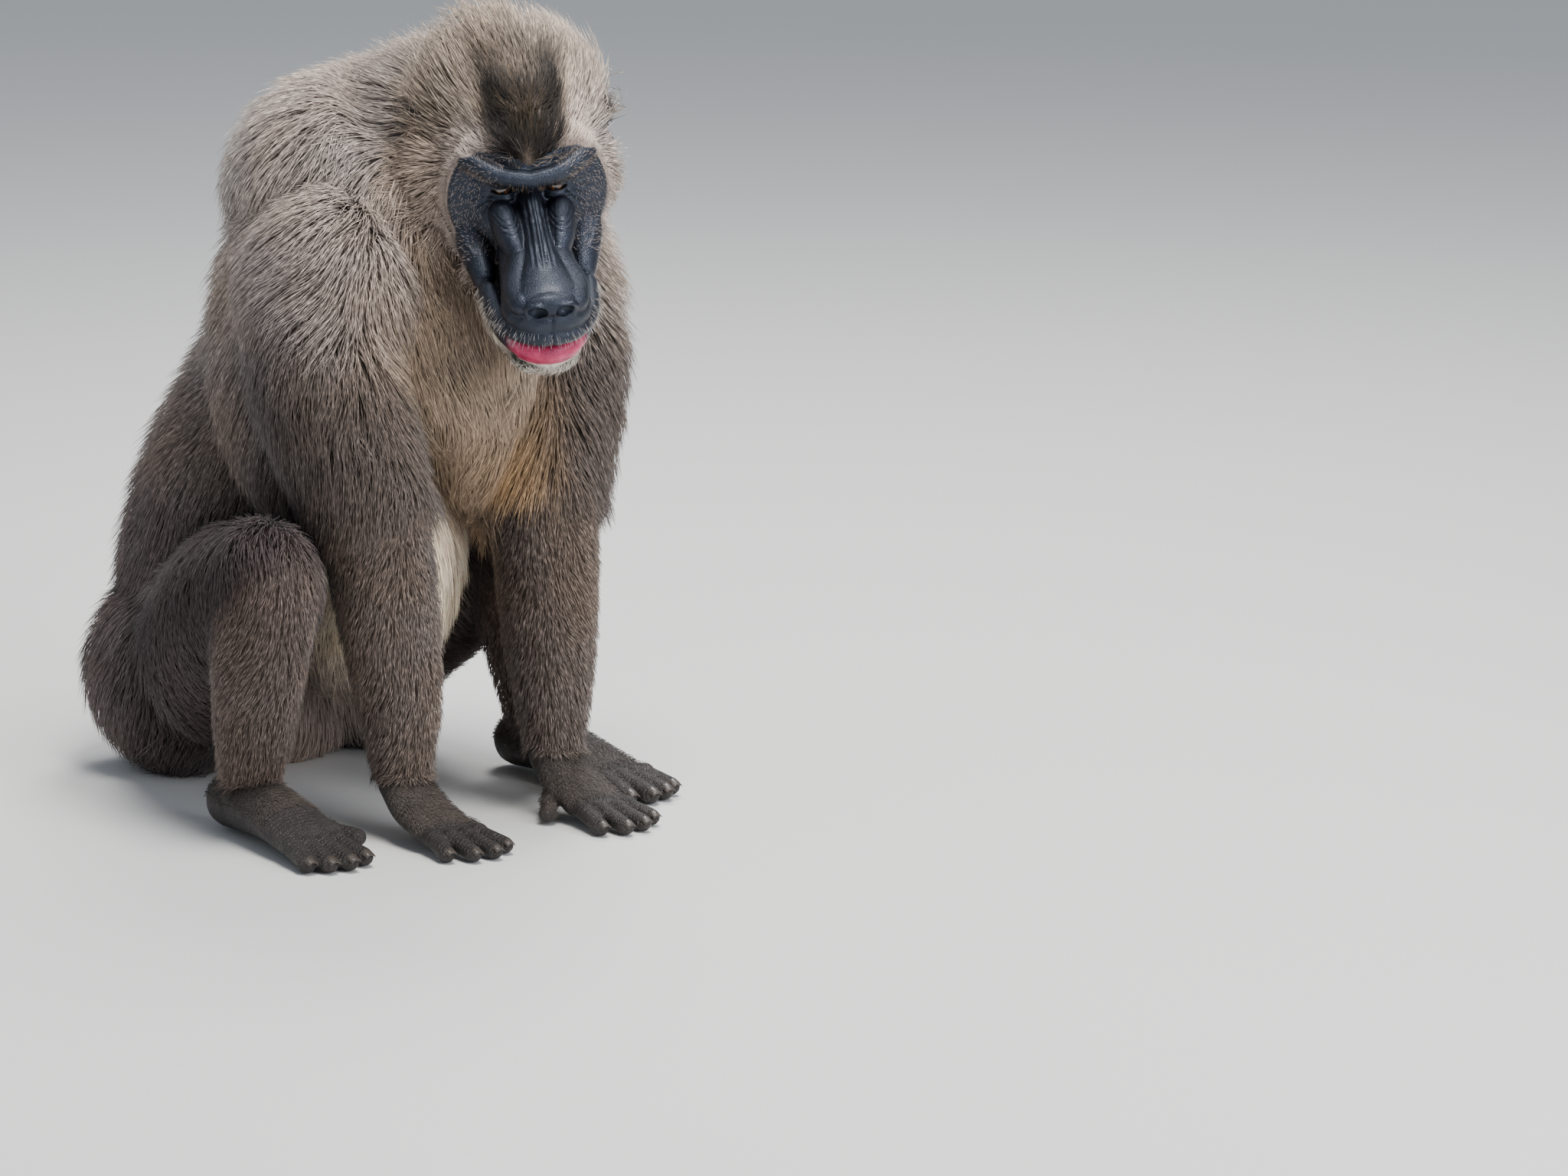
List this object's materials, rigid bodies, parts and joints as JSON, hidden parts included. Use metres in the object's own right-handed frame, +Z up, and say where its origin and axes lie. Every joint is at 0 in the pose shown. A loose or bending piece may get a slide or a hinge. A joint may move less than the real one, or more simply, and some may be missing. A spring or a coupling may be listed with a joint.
{
  "type": "drill monkey",
  "caption": "Seated adult male drill monkey, a still life-size model with its full coat, resting on hands, feet and rump.",
  "frame": {"origin": "bottom centre of the box round the model, on the floor that it sits on", "axes": "+Z up; the body faces -Y; the animal's right side is on -X"},
  "size_m": [0.4156, 0.5904, 0.6697],
  "materials": {
    "coat": "dense grey-brown fur, matt",
    "face_skin": "bare black skin, satin",
    "digit_skin": "bare dark skin of hands and feet",
    "eye": "wet brown eye"
  },
  "bodies": {
    "root": {"head": "coat", "neck": "coat", "torso": "coat", "hips": "coat", "tail": "coat", "upper_arm_left": "coat", "forearm_left": "coat", "hand_left": "digit_skin", "thigh_left": "coat", "lower_leg_left": "coat", "foot_left": "digit_skin", "ear_left": "face_skin", "eye_left": "eye", "upper_arm_right": "coat", "forearm_right": "coat", "hand_right": "digit_skin", "thigh_right": "coat", "lower_leg_right": "coat", "foot_right": "digit_skin", "ear_right": "face_skin", "eye_right": "eye"}
  },
  "joints": []
}
